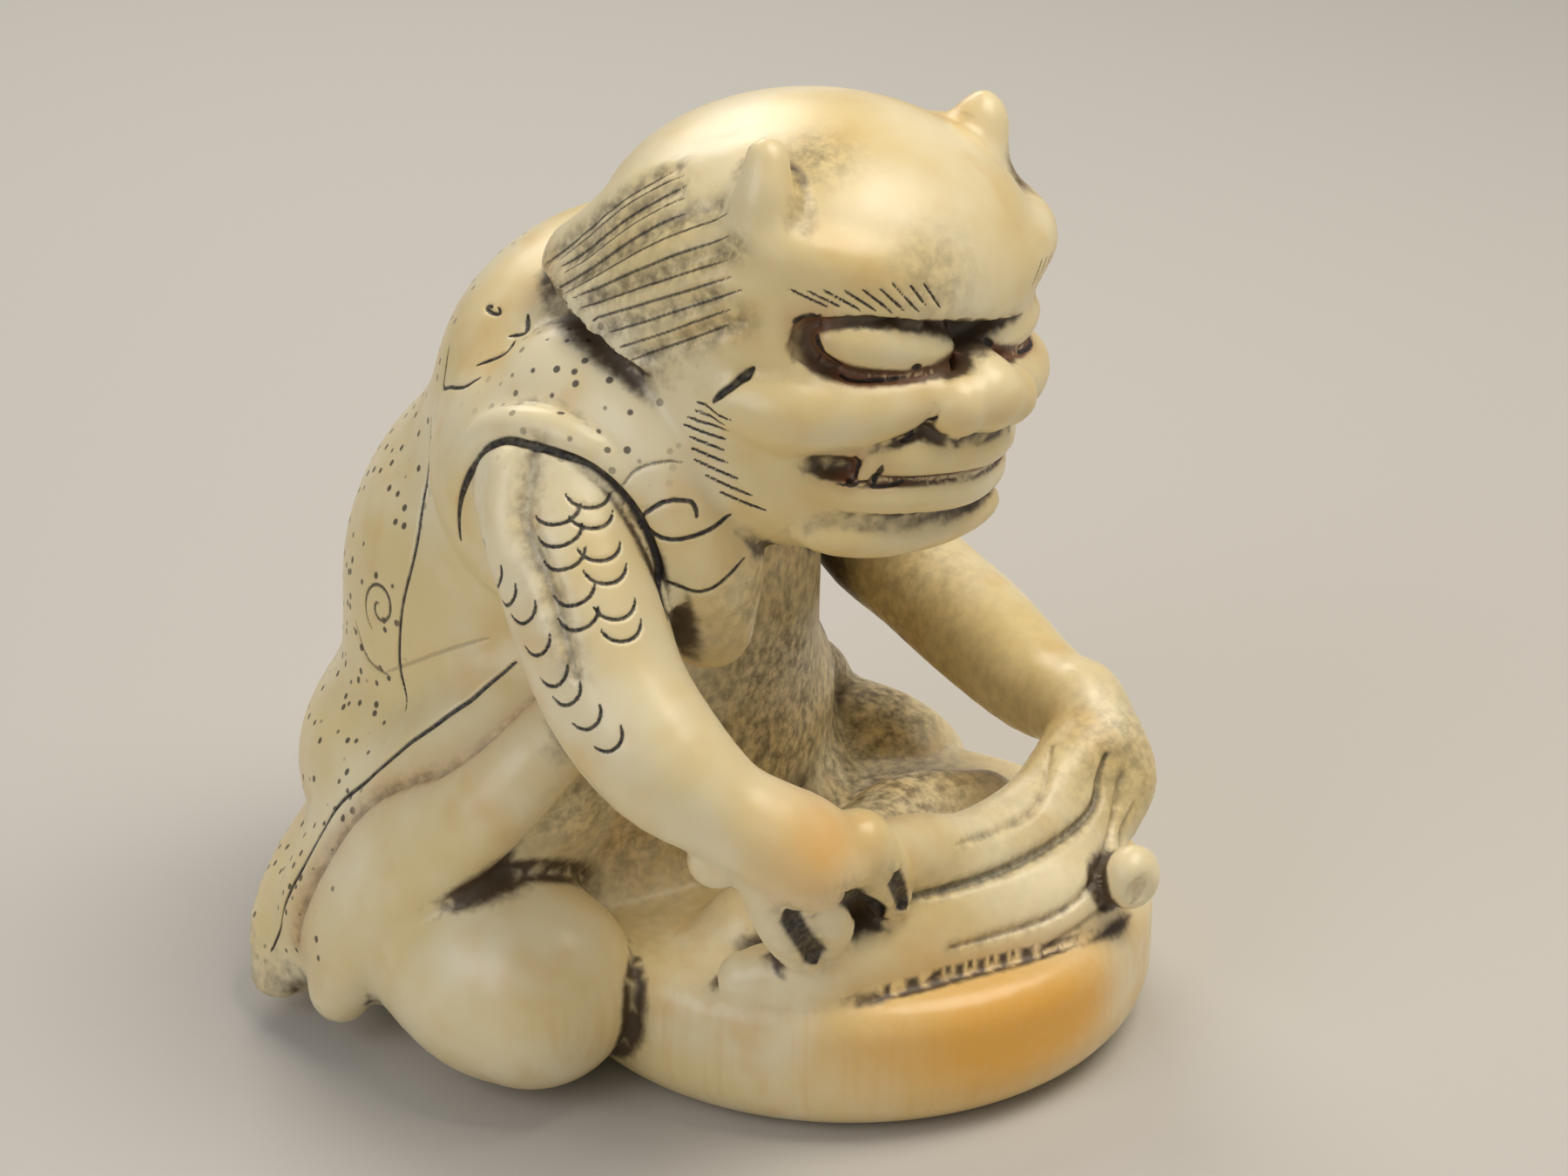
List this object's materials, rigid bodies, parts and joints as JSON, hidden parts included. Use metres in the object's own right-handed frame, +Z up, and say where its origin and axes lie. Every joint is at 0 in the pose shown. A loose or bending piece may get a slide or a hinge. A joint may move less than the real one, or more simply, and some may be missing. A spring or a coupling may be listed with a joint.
{
  "type": "netsuke",
  "caption": "Small carved ivory toggle: a kneeling horned demon in a robe leans over a round tub and wrings a cloth in both hands.",
  "frame": {"origin": "on the ground under the flat underside, midway between the figure's knees", "axes": "+Z up, the figure faces -Y, its right side is -X"},
  "size_m": [0.0308, 0.034, 0.0367],
  "materials": {
    "ivory": "hand-polished ivory with dark stain rubbed into the cut lines and amber patina"
  },
  "bodies": {
    "root": {"netsuke": "ivory"}
  },
  "joints": []
}
